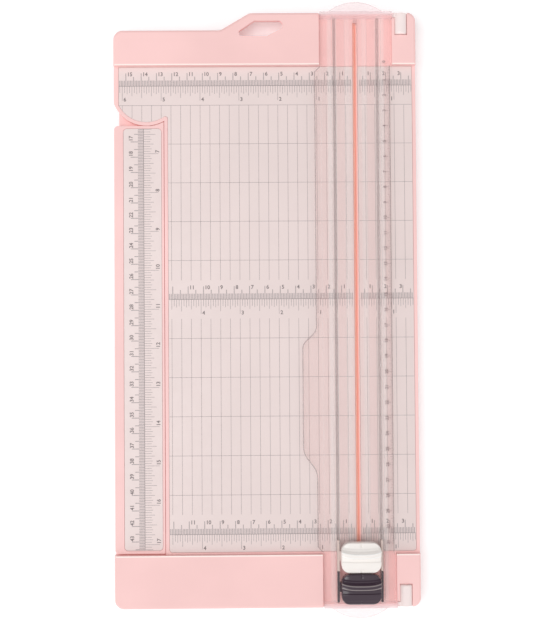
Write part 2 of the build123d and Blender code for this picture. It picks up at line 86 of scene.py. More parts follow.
# Layout of the print, with the bare strip beside the cut, and how many millimetres the rail's scale has
INK_DEPTH = 0.04 * MM
PRINT_MARGIN = 0.3 * MM
CUT_GAP = 2.1 * MM
CM_NUMBER_Y, INCH_NUMBER_Y = 7.7 * MM, -8.9 * MM
GRID_END = 292 * MM
GRID_BREAK = (140 * MM, 165 * MM)
ARM_LINE_X = ARM_PLATE_HIGH[0] - 11.6 * MM
ARM_ZERO_Y = PIVOT.y + (CUT_X - PIVOT.x)
RAIL_SCALE_COUNT = 312

# Roundings of the rail's rim, thin plates, small parts and rubber, and the angle of a sharp edge
RIM_ROUND = 0.65 * MM
PLATE_ROUND = 0.2 * MM
SMALL_ROUND = 0.12 * MM
RUBBER_ROUND = 0.4 * MM
SHARP = math.radians(35)

# Fixed tints: the covers' ledge line, which is a painted highlight, and the paler coral right of the cut; and
# the span of the rail's bands
LEDGE_HIGHLIGHT_PINK, PALER_CORAL = (1.0, 0.88, 0.83), (1.0, 0.60, 0.56)
BAND_SPAN = 24.0 * MM

# Bands across the rail, painted highlights where its ribs and guides catch the light and painted shade where
# they darken it: distance from the cutting line in millimetres, tint and density
PAINTED_RIB_HIGHLIGHT, CLEAR_TINT = (1.0, 0.97, 0.95), (0.88, 0.25, 0.22)
GUIDE_PAINTED_SHADE, RIB_LINE_SHADE = (0.12, 0.07, 0.07), (0.42, 0.22, 0.22)
RAIL_BANDS = (
    (1.0, RIB_LINE_SHADE, 0.30), (1.5, RIB_LINE_SHADE, 0.06), (2.0, CLEAR_TINT, 0.06), (3.5, CLEAR_TINT, 0.06),
    (3.7, RIB_LINE_SHADE, 0.14), (4.2, RIB_LINE_SHADE, 0.14), (4.5, PAINTED_RIB_HIGHLIGHT, 0.08), (5.5, PAINTED_RIB_HIGHLIGHT, 0.10), (6.8, PAINTED_RIB_HIGHLIGHT, 0.14),
    (7.1, RIB_LINE_SHADE, 0.15), (7.5, RIB_LINE_SHADE, 0.10), (7.8, CLEAR_TINT, 0.06), (11.8, CLEAR_TINT, 0.06),
    (12.9, PAINTED_RIB_HIGHLIGHT, 0.12), (13.15, GUIDE_PAINTED_SHADE, 0.38), (14.8, GUIDE_PAINTED_SHADE, 0.42), (15.1, PAINTED_RIB_HIGHLIGHT, 0.18),
    (18.0, PAINTED_RIB_HIGHLIGHT, 0.14), (19.4, CLEAR_TINT, 0.06), (22.3, CLEAR_TINT, 0.06), (22.6, PAINTED_RIB_HIGHLIGHT, 0.16),
    (23.0, CLEAR_TINT, 0.06),
)


# ---------------------------------------------------------------- sizes and colours


COLOUR = {"size": 3, "subtype": "COLOR"}
LENGTH = {"subtype": "DISTANCE", "unit": "LENGTH"}


class TrimmerPrint(bpy.types.PropertyGroup):
    """Sizes and inks of the printed rulers and the grid."""

    tick_width: bpy.props.FloatProperty(
        name="Tick width", description="Width of an inch ruler's tick",
        default=0.30 * MM, **LENGTH,
    )
    metric_width: bpy.props.FloatProperty(
        name="Metric tick width", description="Width of a centimetre ruler's tick",
        default=0.52 * MM, **LENGTH,
    )
    grid_width: bpy.props.FloatProperty(
        name="Grid width", description="Width of a grid line",
        default=0.26 * MM, **LENGTH,
    )
    digit_height: bpy.props.FloatProperty(
        name="Digit height", description="Height of the numbers",
        default=2.5 * MM, **LENGTH,
    )
    ink: bpy.props.FloatVectorProperty(
        name="Ink", description="Colour of the print",
        default=(0.24, 0.20, 0.20), **COLOUR,
    )
    tick_ink: bpy.props.FloatVectorProperty(
        name="Tick ink", description="Colour of the ticks and the grid",
        default=(0.43, 0.37, 0.37), **COLOUR,
    )
    faint_ink: bpy.props.FloatVectorProperty(
        name="Faint ink", description="Colour of the print on the clear rail",
        default=(0.30, 0.22, 0.22), **COLOUR,
    )


class TrimmerBase(bpy.types.PropertyGroup):
    """Colours of the base and the edge softening of its mouldings."""

    pink: bpy.props.FloatVectorProperty(
        name="Pink", description="Colour of the moulded base",
        default=(0.89, 0.60, 0.585), **COLOUR,
    )
    glow: bpy.props.FloatVectorProperty(
        name="Glow", description="Small even glow of the pink plastic",
        default=(0.070, 0.020, 0.018), **COLOUR,
    )
    plate: bpy.props.FloatVectorProperty(
        name="Plate", description="Colour of the printed plates",
        default=(0.805, 0.675, 0.655), **COLOUR,
    )
    coral: bpy.props.FloatVectorProperty(
        name="Coral", description="Colour of the cutting strip",
        default=(1.0, 0.44, 0.34), **COLOUR,
    )
    edge_round: bpy.props.FloatProperty(
        name="Edge round", description="Softening of moulded edges",
        default=0.35 * MM, **LENGTH,
    )


class TrimmerRail(bpy.types.PropertyGroup):
    """Tints and edge softening of the clear rail and its end pieces."""

    clear: bpy.props.FloatVectorProperty(
        name="Clear", description="Tint of the clear plastic",
        default=(0.93, 0.86, 0.85), **COLOUR,
    )
    thick: bpy.props.FloatVectorProperty(
        name="Thick clear", description="Tint of the thicker end pieces",
        default=(0.90, 0.70, 0.72), **COLOUR,
    )
    edge_round: bpy.props.FloatProperty(
        name="Edge round", description="Softening of the rail's edges",
        default=0.25 * MM, **LENGTH,
    )


class TrimmerHeads(bpy.types.PropertyGroup):
    """Shape and colours of the sliding heads."""

    black: bpy.props.FloatVectorProperty(
        name="Black", description="Colour of the cutting head",
        default=(0.034, 0.015, 0.029), **COLOUR,
    )
    white: bpy.props.FloatVectorProperty(
        name="White", description="Colour of the scoring head",
        default=(0.92, 0.87, 0.83), **COLOUR,
    )
    # The carriage is the head's ivory plastic, darkened as painted shade
    nylon: bpy.props.FloatVectorProperty(
        name="Shaded ivory", description="Colour of the scoring head's carriage",
        default=(0.76, 0.62, 0.57), **COLOUR,
    )
    smile: bpy.props.FloatProperty(
        name="Smile", description="How far the ridge curves back towards its ends",
        default=1.6 * MM, **LENGTH,
    )
    wall: bpy.props.FloatProperty(
        name="Wall", description="Wall thickness of a head",
        default=1.4 * MM, **LENGTH,
    )


class TrimmerStage(bpy.types.PropertyGroup):
    """The floor, the lights and the camera."""

    floor: bpy.props.FloatVectorProperty(
        name="Floor", description="Colour of the floor",
        default=(0.97, 0.97, 0.975), **COLOUR,
    )
    floor_glow: bpy.props.FloatProperty(
        name="Floor glow", description="Light that the lit studio floor gives off itself",
        default=0.16,
    )
    key_power: bpy.props.FloatProperty(
        name="Key power", description="Power of the large light",
        default=12.0, unit="POWER",
    )
    sky: bpy.props.FloatProperty(
        name="Sky", description="Strength of the even light all round",
        default=0.80,
    )
    focal_length: bpy.props.FloatProperty(
        name="Focal length", description="The camera's focal length in millimetres",
        default=57.416,
    )


# ---------------------------------------------------------------- materials


def new_material(name, colour, roughness, settings=()):
    """A material with its node tree and its Principled shader, whose sockets take these constant settings."""
    material = bpy.data.materials.new(name)
    material.use_nodes = True
    tree = material.node_tree
    shader = tree.nodes["Principled BSDF"]
    for socket, value in (("Base Color", (*colour, 1)), ("Roughness", roughness), *settings):
        shader.inputs[socket].default_value = value
    return material, tree, shader


def mottle(tree, shader, value, colour, low, high):
    """Lets the shader's colour drift between two shades of it with value."""
    tree.links.new(ramp(tree, value, shade(colour, low), shade(colour, high)), shader.inputs["Base Color"])


def noise(tree, scale, detail=3.0, stretch=(1, 1, 1)):
    """Noise in the object's own metres."""
    place = tree.nodes.new("ShaderNodeTexCoord")
    mapping = tree.nodes.new("ShaderNodeMapping")
    mapping.inputs["Scale"].default_value = stretch
    texture = tree.nodes.new("ShaderNodeTexNoise")
    texture.inputs["Scale"].default_value = scale
    texture.inputs["Detail"].default_value = detail
    tree.links.new(place.outputs["Object"], mapping.inputs["Vector"])
    tree.links.new(mapping.outputs["Vector"], texture.inputs["Vector"])
    return texture.outputs["Fac"]


def ramp(tree, value, low, high, positions=(0.35, 0.65)):
    """A colour that goes from low to high as value crosses the two positions."""
    node = tree.nodes.new("ShaderNodeValToRGB")
    node.color_ramp.elements[0].position = positions[0]
    node.color_ramp.elements[1].position = positions[1]
    node.color_ramp.elements[0].color = (*low, 1)
    node.color_ramp.elements[1].color = (*high, 1)
    tree.links.new(value, node.inputs["Fac"])
    return node.outputs["Color"]


def feed(tree, socket, value):
    """Gives a socket a number or a colour, or links another node's output to it."""
    if isinstance(value, tuple):
        socket.default_value = (*value, 1)
    elif isinstance(value, (int, float)):
        socket.default_value = value
    else:
        tree.links.new(value, socket)


def calculate(tree, operation, *values):
    """The result of one Math node."""
    node = tree.nodes.new("ShaderNodeMath")
    node.operation = operation
    for socket, value in zip(node.inputs, values):
        feed(tree, socket, value)
    return node.outputs[0]


def own_axes(tree):
    """The object's own X, Y and Z."""
    place, parts = tree.nodes.new("ShaderNodeTexCoord"), tree.nodes.new("ShaderNodeSeparateXYZ")
    tree.links.new(place.outputs["Object"], parts.inputs["Vector"])
    return parts.outputs["X"], parts.outputs["Y"], parts.outputs["Z"]


def step(tree, value, start, end, low=0.0, high=1.0):
    """A number that goes from low to high as value goes from start to end."""
    node = tree.nodes.new("ShaderNodeMapRange")
    for socket, given in (("From Min", start), ("From Max", end), ("To Min", low), ("To Max", high)):
        node.inputs[socket].default_value = given
    tree.links.new(value, node.inputs["Value"])
    return node.outputs["Result"]


def span(tree, value, low, high):
    """A number that goes from low to high over the middle of a noise's range."""
    return step(tree, value, 0.3, 0.7, low, high)


def mixed_number(tree, factor, low, high):
    """A number from low to high by factor."""
    node = tree.nodes.new("ShaderNodeMix")
    for socket, value in ((node.inputs["Factor"], factor), (node.inputs[2], low), (node.inputs[3], high)):
        feed(tree, socket, value)
    return node.outputs[0]


def mixed_colour(tree, factor, low, high):
    """A colour from low to high by factor."""
    node = tree.nodes.new("ShaderNodeMix")
    node.data_type = "RGBA"
    for socket, value in ((node.inputs["Factor"], factor), (node.inputs[6], low), (node.inputs[7], high)):
        feed(tree, socket, value)
    return node.outputs[2]


def add_bump(tree, shader, height, distance, strength=0.3):
    """Fine relief on the surface."""
    node = tree.nodes.new("ShaderNodeBump")
    node.inputs["Distance"].default_value = distance
    node.inputs["Strength"].default_value = strength
    tree.links.new(height, node.inputs["Height"])
    tree.links.new(node.outputs["Normal"], shader.inputs["Normal"])


def shade(colour, factor):
    """The colour, lighter or darker."""
    return tuple(min(1.0, part * factor) for part in colour)


def satin_plastic(name, colour, roughness, grain=9000.0, relief=0.02 * MM, drift=0.035):
    """Moulded plastic: fine spark grain, slow drift of colour and slightly uneven polish."""
    material, tree, shader = new_material(name, colour, roughness, [("Specular IOR Level", 0.45)])
    mottle(tree, shader, noise(tree, 14.0, 4.0), colour, 1 - drift, 1 + drift)
    polish = span(tree, noise(tree, 60.0, 5.0), roughness * 0.85, roughness * 1.15)
    tree.links.new(polish, shader.inputs["Roughness"])
    add_bump(tree, shader, noise(tree, grain, 2.0), relief)
    return material


def glowing(material, colour):
    """Adds a small even glow, which stands in for light scattered inside slightly translucent plastic."""
    shader = material.node_tree.nodes["Principled BSDF"]
    shader.inputs["Emission Color"].default_value = (*colour, 1)
    shader.inputs["Emission Strength"].default_value = 1.0
    return material


def pale_edged(material, name):
    """The same plastic with a painted highlight line along the ledges of both covers, where their rounded
    edge catches the light.
    """
    material.name = name
    tree = material.node_tree
    shader = tree.nodes["Principled BSDF"]
    plain = shader.inputs["Base Color"].links[0].from_socket
    _, y, z = own_axes(tree)
    along = calculate(tree, "ABSOLUTE", y)
    # The pale line is a painted highlight on the top edge of each ledge
    near_ledge = step(tree, along, LEDGE_Y + 1.0 * MM, LEDGE_Y + 0.5 * MM)
    on_top = step(tree, z, COVER_Z - 0.7 * MM, COVER_Z - 0.3 * MM)
    painted_highlight = calculate(tree, "MULTIPLY", near_ledge, on_top)
    tree.links.new(mixed_colour(tree, painted_highlight, plain, LEDGE_HIGHLIGHT_PINK), shader.inputs["Base Color"])
    return material


def printed_film(name, colour):
    """Frosted clear plate over the base: milky, with a faint cloudiness and a soft sheen."""
    settings = [("Coat Weight", 0.15), ("Coat Roughness", 0.2)]
    material, tree, shader = new_material(name, colour, 0.34, settings)
    mottle(tree, shader, noise(tree, 22.0, 5.0), colour, 0.985, 1.02)
    tree.links.new(span(tree, noise(tree, 180.0), 0.28, 0.42), shader.inputs["Roughness"])
    add_bump(tree, shader, noise(tree, 5200.0, 2.0), 0.012 * MM)
    return material


def soft_strip(name, colour):
    """Soft cutting strip: satin, with fine lengthwise drawing lines and a paler right half."""
    settings = [("Subsurface Weight", 0.15), ("Subsurface Radius", (0.002, 0.001, 0.001))]
    material, tree, shader = new_material(name, colour, 0.5, settings)
    lines = noise(tree, 900.0, 3.0, (1, 0.02, 1))
    drawn = ramp(tree, lines, shade(colour, 0.95), shade(colour, 1.04))
    # Paler coral to the right of the cutting line
    right_of_cut = step(tree, own_axes(tree)[0], CUT_X, CUT_X + 0.7 * MM)
    tree.links.new(mixed_colour(tree, right_of_cut, drawn, PALER_CORAL), shader.inputs["Base Color"])
    add_bump(tree, shader, lines, 0.03 * MM)
    return material


def gloss_plastic(name, colour, crest_highlight_colour, roughness):
    """Glossy moulded plastic of a head, with a painted highlight along the crests of its grip."""
    settings = [("Specular IOR Level", 0.6), ("Coat Weight", 0.15)]
    material, tree, shader = new_material(name, colour, roughness, settings)
    tint = ramp(tree, noise(tree, 14.0, 4.0), shade(colour, 0.93), shade(colour, 1.07))
    crest_highlight = tree.nodes.new("ShaderNodeAttribute")
    crest_highlight.attribute_name = "crest_highlight"
    painted_highlight = mixed_colour(tree, crest_highlight.outputs["Fac"], tint, crest_highlight_colour)
    polish = span(tree, noise(tree, 60.0, 5.0), roughness * 0.8, roughness * 1.2)
    tree.links.new(painted_highlight, shader.inputs["Base Color"])
    tree.links.new(polish, shader.inputs["Roughness"])
    add_bump(tree, shader, noise(tree, 2600.0, 2.0), 0.005 * MM)
    return material


def ink_print(name, colour):
    """Screen-printed ink, a little uneven in density."""
    material, tree, shader = new_material(name, colour, 0.6)
    mottle(tree, shader, noise(tree, 1500.0, 4.0), colour, 0.85, 1.2)
    return material


def from_cut(tree):
    """Distance from the cutting line as a share of the bands' span, then the object's own X and Z."""
    x, _, z = own_axes(tree)
    distance = calculate(tree, "ABSOLUTE", calculate(tree, "SUBTRACT", x, CUT_X))
    return calculate(tree, "DIVIDE", distance, BAND_SPAN), x, z


def clear_plastic(name, colour, alpha):
    """Clear moulded plastic: lets the parts below show, and thickens to a pale line at its edges."""
    settings = [("Coat Weight", 0.6), ("Coat Roughness", 0.03)]
    material, tree, shader = new_material(name, colour, 0.06, settings)
    rim = tree.nodes.new("ShaderNodeLayerWeight")
    rim.inputs["Blend"].default_value = 0.25
    density = mixed_number(tree, rim.outputs["Facing"], alpha, 0.6)
    tint = ramp(tree, noise(tree, 30.0), shade(colour, 0.97), shade(colour, 1.03))
    tree.links.new(span(tree, noise(tree, 120.0, 4.0), 0.04, 0.10), shader.inputs["Roughness"])
    return material, tree, shader, tint, density


def clear_rail(name, colour, bands):
    """The rail's clear plastic, with painted pale highlight bands and painted dark shade bands along it,
    where its ribs and guides catch and darken the light.
    """
    material, tree, shader, tint, density = clear_plastic(name, colour, 0.01)
    share, _, height = from_cut(tree)
    colours, weights = tree.nodes.new("ShaderNodeValToRGB"), tree.nodes.new("ShaderNodeValToRGB")
    for node, pick in ((colours, 1), (weights, 2)):
        tree.links.new(share, node.inputs["Fac"])
        points = node.color_ramp.elements
        while len(points) < len(bands):
            points.new(0.5)
        for point, band in zip(points, bands):
            point.position = band[0] * MM / BAND_SPAN
            value = band[pick]
            point.color = (*value, 1) if pick == 1 else (value, value, value, 1)
    on_top = calculate(tree, "COMPARE", height, RAIL_TOP_Z, 0.15 * MM)
    drift = span(tree, noise(tree, 40.0, 3.0, (1, 0.12, 1)), 0.97, 1.03)
    weight = calculate(tree, "MULTIPLY", weights.outputs["Color"], drift)
    # The bands on the rail's top faces are painted highlight and painted shade
    banded = mixed_colour(tree, on_top, tint, colours.outputs["Color"])
    tree.links.new(banded, shader.inputs["Base Color"])
    tree.links.new(mixed_number(tree, on_top, density, weight), shader.inputs["Alpha"])
    return material


def clear_edge(name, colour):
    """The rail's outer edge, with painted shade that stands for the darkening a clear edge shows where it
    bends the light.
    """
    material, tree, shader = new_material(name, colour, 0.2, [("Alpha", 0.5)])
    mottle(tree, shader, noise(tree, 90.0, 3.0), colour, 0.8, 1.2)
    return material


def clear_end(name, colour):
    """The end pieces' clear plastic: milky where it is thick, and nearly white round the hinge barrel."""
    material, tree, shader, tint, density = clear_plastic(name, colour, 0.21)
    _, across, height = from_cut(tree)
    thick = step(tree, height, RAIL_TOP_Z + 1.5 * MM, RAIL_TOP_Z + 5.0 * MM)
    milky = mixed_number(tree, thick, density, 0.34)
    barrel = step(tree, across, CUT_X + 23.6 * MM, CUT_X + 25.6 * MM)
    tree.links.new(mixed_colour(tree, barrel, tint, (0.98, 0.84, 0.82)), shader.inputs["Base Color"])
    tree.links.new(mixed_number(tree, barrel, milky, 0.97), shader.inputs["Alpha"])
    return material


def bright_steel(name):
    """Turned steel with fine drawing lines."""
    colour = (0.58, 0.58, 0.60)
    material, tree, shader = new_material(name, colour, 0.28, [("Metallic", 1.0)])
    lines = noise(tree, 2400.0, 3.0, (0.06, 1, 1))
    mottle(tree, shader, lines, colour, 0.9, 1.1)
    tree.links.new(span(tree, lines, 0.2, 0.38), shader.inputs["Roughness"])
    add_bump(tree, shader, lines, 0.006 * MM)
    return material


def matt_rubber(name):
    """Grey rubber with a fine pebble."""
    colour = (0.20, 0.19, 0.19)
    material, tree, shader = new_material(name, colour, 0.8)
    pebble = noise(tree, 1700.0, 3.0)
    mottle(tree, shader, pebble, colour, 0.85, 1.15)
    add_bump(tree, shader, pebble, 0.06 * MM, 0.5)
    return material


def finish(name):
    """A finish by name, made the first time that it's asked for."""
    scene = bpy.context.scene
    base, rail, heads, ink = scene.trimmer_base, scene.trimmer_rail, scene.trimmer_heads, scene.trimmer_print
    makers = {
        "pink plastic": lambda: glowing(satin_plastic("pink plastic", base.pink, 0.42), base.glow),
        # The covers carry a painted highlight along their ledges
        "pink plastic with ledge highlight": lambda: pale_edged(finish("pink plastic").copy(), "pink plastic with ledge highlight"),
        "printed film": lambda: printed_film("printed film", base.plate),
        "coral strip": lambda: soft_strip("coral strip", base.coral),
        "ink": lambda: ink_print("ink", ink.ink),
        "tick ink": lambda: ink_print("tick ink", ink.tick_ink),
        "faint ink": lambda: ink_print("faint ink", ink.faint_ink),
        "clear rail": lambda: clear_rail("clear rail", rail.clear, RAIL_BANDS),
        # Painted shade for the rail's outer edge
        "clear edge painted shade": lambda: clear_edge("clear edge painted shade", (0.27, 0.19, 0.19)),
        "clear end": lambda: clear_end("clear end", rail.thick),
        # The crest colours are painted highlights on the heads' ridges
        "gloss black": lambda: gloss_plastic("gloss black", heads.black, (0.34, 0.29, 0.29), 0.16),
        "ivory white": lambda: gloss_plastic("ivory white", heads.white, (1.0, 1.0, 0.98), 0.34),
        # Ivory darkened as painted shade for the scoring head's carriage
        "ivory in painted shade": lambda: satin_plastic("ivory in painted shade", heads.nylon, 0.40, 5200.0, 0.012 * MM, 0.03),
        "bright steel": lambda: bright_steel("bright steel"),
        "matt rubber": lambda: matt_rubber("matt rubber"),
    }
    return bpy.data.materials.get(name) or makers[name]()


# ---------------------------------------------------------------- mesh helpers


def linked(name, data):
    """A new object in the scene."""
    made = bpy.data.objects.new(name, data)
    bpy.context.collection.objects.link(made)
    return made


def evaluated(holder):
    """The plain mesh that an object comes to."""
    graph = bpy.context.evaluated_depsgraph_get()
    return bpy.data.meshes.new_from_object(holder.evaluated_get(graph))


def as_mesh(made, name):
    """A mesh of a bmesh, which is used up."""
    mesh = bpy.data.meshes.new(name)
    made.to_mesh(mesh)
    made.free()
    return mesh


def piece(name, mesh, material, body, replaced=()):
    """A finished piece at the origin, riding on its body."""
    made = linked(name, mesh)
    made.data.materials.clear()
    made.data.materials.append(finish(material))
    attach(made, body)
    if replaced:
        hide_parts(*replaced)
    return made


def joined(meshes):
    """One mesh out of several, which are used up."""
    whole = bmesh.new()
    for mesh in meshes:
        whole.from_mesh(mesh)
        bpy.data.meshes.remove(mesh)
    return as_mesh(whole, "joined")


def box_mesh(low, high):
    """A closed box between two corners."""
    made = bmesh.new()
    bmesh.ops.create_cube(made, size=1.0)
    size = Vector(high) - Vector(low)
    centre = (Vector(high) + Vector(low)) / 2
    placed = Matrix.Translation(centre) @ Matrix.Diagonal((*size, 1))
    bmesh.ops.transform(made, matrix=placed, verts=made.verts)
    return as_mesh(made, "box")


def modified(mesh, kind, **settings):
    """The mesh after one modifier with these settings; the first mesh is used up."""
    holder = linked("holder", mesh)
    modifier = holder.modifiers.new("change", kind)
    for name, value in settings.items():
        setattr(modifier, name, value)
    result = evaluated(holder)
    bpy.data.objects.remove(holder)
    bpy.data.meshes.remove(mesh)
    return result


def softened(node, material, body, width, segments=2, wide=None, is_wide=None):
    """A copy of a working part with its sharp edges rounded a little, which stands for it.

    Where is_wide is given, the edges that it picks are rounded by wide instead of width.
    """
    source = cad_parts[node]
    made = bmesh.new()
    made.from_mesh(source.data)
    bmesh.ops.remove_doubles(made, verts=made.verts, dist=1e-6)
    bmesh.ops.dissolve_limit(made, angle_limit=math.radians(1.0), verts=made.verts, edges=made.edges)
    rounding = {"limit_method": "ANGLE", "angle_limit": SHARP, "width": width, "use_clamp_overlap": True}
    if is_wide:
        rounding = {"limit_method": "WEIGHT", "width": wide, "use_clamp_overlap": False}
        weight = made.edges.layers.float.new("bevel_weight_edge")
        for edge in made.edges:
            if edge.calc_face_angle(0.0) > SHARP:
                edge[weight] = 1.0 if is_wide(edge) else width / wide
    mesh = modified(as_mesh(made, "soft_" + node), "BEVEL", segments=segments, **rounding)
    smooth_by_angle(mesh)
    mesh = modified(mesh, "WEIGHTED_NORMAL", mode="FACE_AREA", weight=80, keep_sharp=True)
    return piece("soft_" + node, mesh, material, body, (node,))


def smooth_by_angle(mesh, degrees=32):
    """Smooth shading that stays crisp at real edges."""
    mesh.shade_smooth()
    mesh.set_sharp_from_angle(angle=math.radians(degrees))


# ---------------------------------------------------------------- printed rulers


def tick_tree():
    """Geometry Nodes that lay ruler ticks in a row along X, longer at each named interval."""
    tree = bpy.data.node_groups.get("Ruler ticks")
    if tree:
        return tree
    tree = bpy.data.node_groups.new("Ruler ticks", "GeometryNodeTree")
    face = tree.interface
    face.new_socket("Geometry", in_out="OUTPUT", socket_type="NodeSocketGeometry")
    sockets = [("Count", "Int"), ("First", "Int")]
    sockets += [(name, "Float") for name in ("Spacing", "Width", "Depth", "Side", "Length")]
    for level in LEVELS:
        sockets += [("Every " + level, "Int"), ("Extra " + level, "Float")]
    for name, kind in sockets + [("Material", "Material")]:
        face.new_socket(name, in_out="INPUT", socket_type="NodeSocket" + kind)
    given, out = tree.nodes.new("NodeGroupInput").outputs, tree.nodes.new("NodeGroupOutput")

    def vector(**parts):
        node = tree.nodes.new("ShaderNodeCombineXYZ")
        for axis, value in parts.items():
            feed(tree, node.inputs[axis], value)
        return node.outputs[0]

    index = calculate(tree, "ADD", tree.nodes.new("GeometryNodeInputIndex").outputs[0], given["First"])
    length = given["Length"]
    for level in LEVELS:
        left_over = calculate(tree, "MODULO", index, given["Every " + level])
        on = calculate(tree, "LESS_THAN", left_over, 0.5)
        extra = calculate(tree, "MULTIPLY", on, given["Extra " + level])
        length = calculate(tree, "ADD", length, extra)
    points = tree.nodes.new("GeometryNodeMeshLine")
    points.mode = "OFFSET"
    start = calculate(tree, "MULTIPLY", given["First"], given["Spacing"])
    tree.links.new(given["Count"], points.inputs["Count"])
    tree.links.new(vector(X=given["Spacing"]), points.inputs["Offset"])
    tree.links.new(vector(X=start), points.inputs["Start Location"])
    cube, shift = tree.nodes.new("GeometryNodeMeshCube"), tree.nodes.new("GeometryNodeTransform")
    half_side = calculate(tree, "MULTIPLY", given["Side"], 0.5)
    tree.links.new(cube.outputs["Mesh"], shift.inputs["Geometry"])
    tree.links.new(vector(Y=half_side, Z=0.5), shift.inputs["Translation"])
    place = tree.nodes.new("GeometryNodeInstanceOnPoints")
    tree.links.new(points.outputs["Mesh"], place.inputs["Points"])
    tree.links.new(shift.outputs["Geometry"], place.inputs["Instance"])
    tree.links.new(vector(X=given["Width"], Y=length, Z=given["Depth"]), place.inputs["Scale"])
    real, paint = tree.nodes.new("GeometryNodeRealizeInstances"), tree.nodes.new("GeometryNodeSetMaterial")
    tree.links.new(place.outputs["Instances"], real.inputs["Geometry"])
    tree.links.new(real.outputs["Geometry"], paint.inputs["Geometry"])
    tree.links.new(given["Material"], paint.inputs["Material"])
    tree.links.new(paint.outputs["Geometry"], out.inputs["Geometry"])
    return tree


def grown(tree, values):
    """The mesh that a Geometry Nodes tree makes from named values."""
    holder = linked("holder", bpy.data.meshes.new("holder"))
    modifier = holder.modifiers.new("nodes", "NODES")
    modifier.node_group = tree
    for item in tree.interface.items_tree:
        if item.in_out == "INPUT" and item.name in values:
            modifier[item.identifier] = values[item.name]
    mesh = evaluated(holder)
    holder.modifiers.remove(modifier)
    bpy.data.objects.remove(holder)
    return mesh


# A ruler's ticks: their spacing and length, and how much longer every so many of them are
LEVELS = "1234"
METRIC = {"Spacing": MM, "Length": 3.7 * MM, "Every 1": 5, "Extra 1": 2.5 * MM, "Every 2": 10,
          "Extra 2": 2.3 * MM, "Every 3": 10, "Extra 3": 0.0, "Every 4": 10, "Extra 4": 0.0}
IMPERIAL = {"Spacing": SIXTEENTH, "Length": 4.4 * MM, "Every 1": 2, "Extra 1": 0.8 * MM, "Every 2": 4,
            "Extra 2": 1.3 * MM, "Every 3": 8, "Extra 3": 1.3 * MM, "Every 4": 16, "Extra 4": 1.8 * MM}


def ticks(pattern, origin, turn, side, first, count, width, ink="tick ink"):
    """A row of ticks that starts at origin and runs along X turned by turn degrees."""
    values = dict(pattern)
    values.update({"Count": count, "First": first, "Side": float(side), "Width": width, "Depth": INK_DEPTH})
    values["Material"] = finish(ink)
    mesh = grown(tick_tree(), values)
    mesh.transform(Matrix.Translation(origin) @ Matrix.Rotation(math.radians(turn), 4, "Z"))
    return mesh


def number(text, height, centre, turn=0):
    """A number as a thin closed mesh, centred on a point."""
    curve = bpy.data.curves.new("number", "FONT")
    curve.body = str(text)
    curve.size = height * 1.38
    curve.extrude = INK_DEPTH / 2
    curve.offset = height * 0.035
    curve.align_x = "CENTER"
    curve.align_y = "CENTER"
    curve.resolution_u = 3
    holder = linked("number", curve)
    mesh = evaluated(holder)
    bpy.data.objects.remove(holder)
    bpy.data.curves.remove(curve)
    lift = Vector(centre) + Vector((0, 0, INK_DEPTH / 2))
    mesh.transform(Matrix.Translation(lift) @ Matrix.Rotation(math.radians(turn), 4, "Z"))
    return mesh


def line(x, y, z=PAPER_Z):
    """A printed line as a thin closed box between limits in X and Y."""
    return box_mesh((min(x), min(y), z), (max(x), max(y), z + INK_DEPTH))


def horizontal_ruler(y, left_edge, right_edge, settings):
    """A ruler across the platform, counted from the cut: centimetres above its line and inches below."""
    origin = Vector((CUT_X, y, PAPER_Z))
    first_cm, first_inch = math.ceil(CUT_GAP / MM), math.ceil(CUT_GAP / SIXTEENTH)
    width = settings.tick_width
    parts = []
    for ends in ((left_edge, CUT_X - CUT_GAP), (CUT_X + CUT_GAP, right_edge)):
        parts.append(line(ends, (y - width / 2, y + width / 2)))
    for turn, room, up in ((180, CUT_X - left_edge, -1), (0, right_edge - CUT_X, 1)):
        millimetres, sixteenths = int(room / MM - 0.2), int(room / SIXTEENTH - 0.2)
        metric_count, inch_count = millimetres - first_cm + 1, sixteenths - first_inch + 1
        parts.append(ticks(METRIC, origin, turn, up, first_cm, metric_count, settings.metric_width))
        parts.append(ticks(IMPERIAL, origin, turn, -up, first_inch, inch_count, width))
    return parts


def horizontal_numbers(y, cm_from, inch_from, settings):
    """The numbers of a ruler across the platform."""
    places = []
    for value in range(1, cm_from + 1):
        places.append((value, -value * CM + (1.8 if value < 10 else 2.5) * MM, CM_NUMBER_Y))
    for value in (1, 2, 3):
        places.append((value, value * CM - 1.4 * MM, CM_NUMBER_Y))
    for value in range(1, inch_from + 1):
        places.append((value, -value * INCH + 1.7 * MM, INCH_NUMBER_Y))
    places.append((1, INCH - 1.5 * MM, INCH_NUMBER_Y))
    origin = Vector((CUT_X, y, PAPER_Z))
    return [number(value, settings.digit_height, origin + Vector((dx, dy, 0))) for value, dx, dy in places]


def grid_lines(settings):
    """The quarter-inch lines down the platform and the inch lines across it."""
    half = settings.grid_width / 2
    top, bottom = LEDGE_Y - INCH, LEDGE_Y - GRID_END
    gap_top, gap_bottom = (LEDGE_Y - distance for distance in GRID_BREAK)
    parts = []
    for quarter in range(-24, 6):
        x = CUT_X + quarter * INCH / 4
        if quarter == 0:
            continue
        if x > ARM_SIDE_X + MM:
            parts.append(line((x - half, x + half), (gap_top, top)))
            parts.append(line((x - half, x + half), (bottom, gap_bottom)))
        else:
            reach = math.sqrt(max(0.0, EAR_PLATE_R**2 - (x - PIVOT.x) ** 2))
            parts.append(line((x - half, x + half), (PIVOT.y - reach + 0.4 * MM, top)))
    for inches in (1, 2, 3, 4, 5, 7, 8, 9, 10, 11):
        y = LEDGE_Y - inches * INCH
        start = PLATE_LOW[0] if inches == 1 else ARM_SIDE_X
        parts.append(line((start + PRINT_MARGIN, CUT_X - CUT_GAP), (y - half, y + half)))
        parts.append(line((CUT_X + CUT_GAP, RIGHT_HIGH[0] - PRINT_MARGIN), (y - half, y + half)))
    return parts


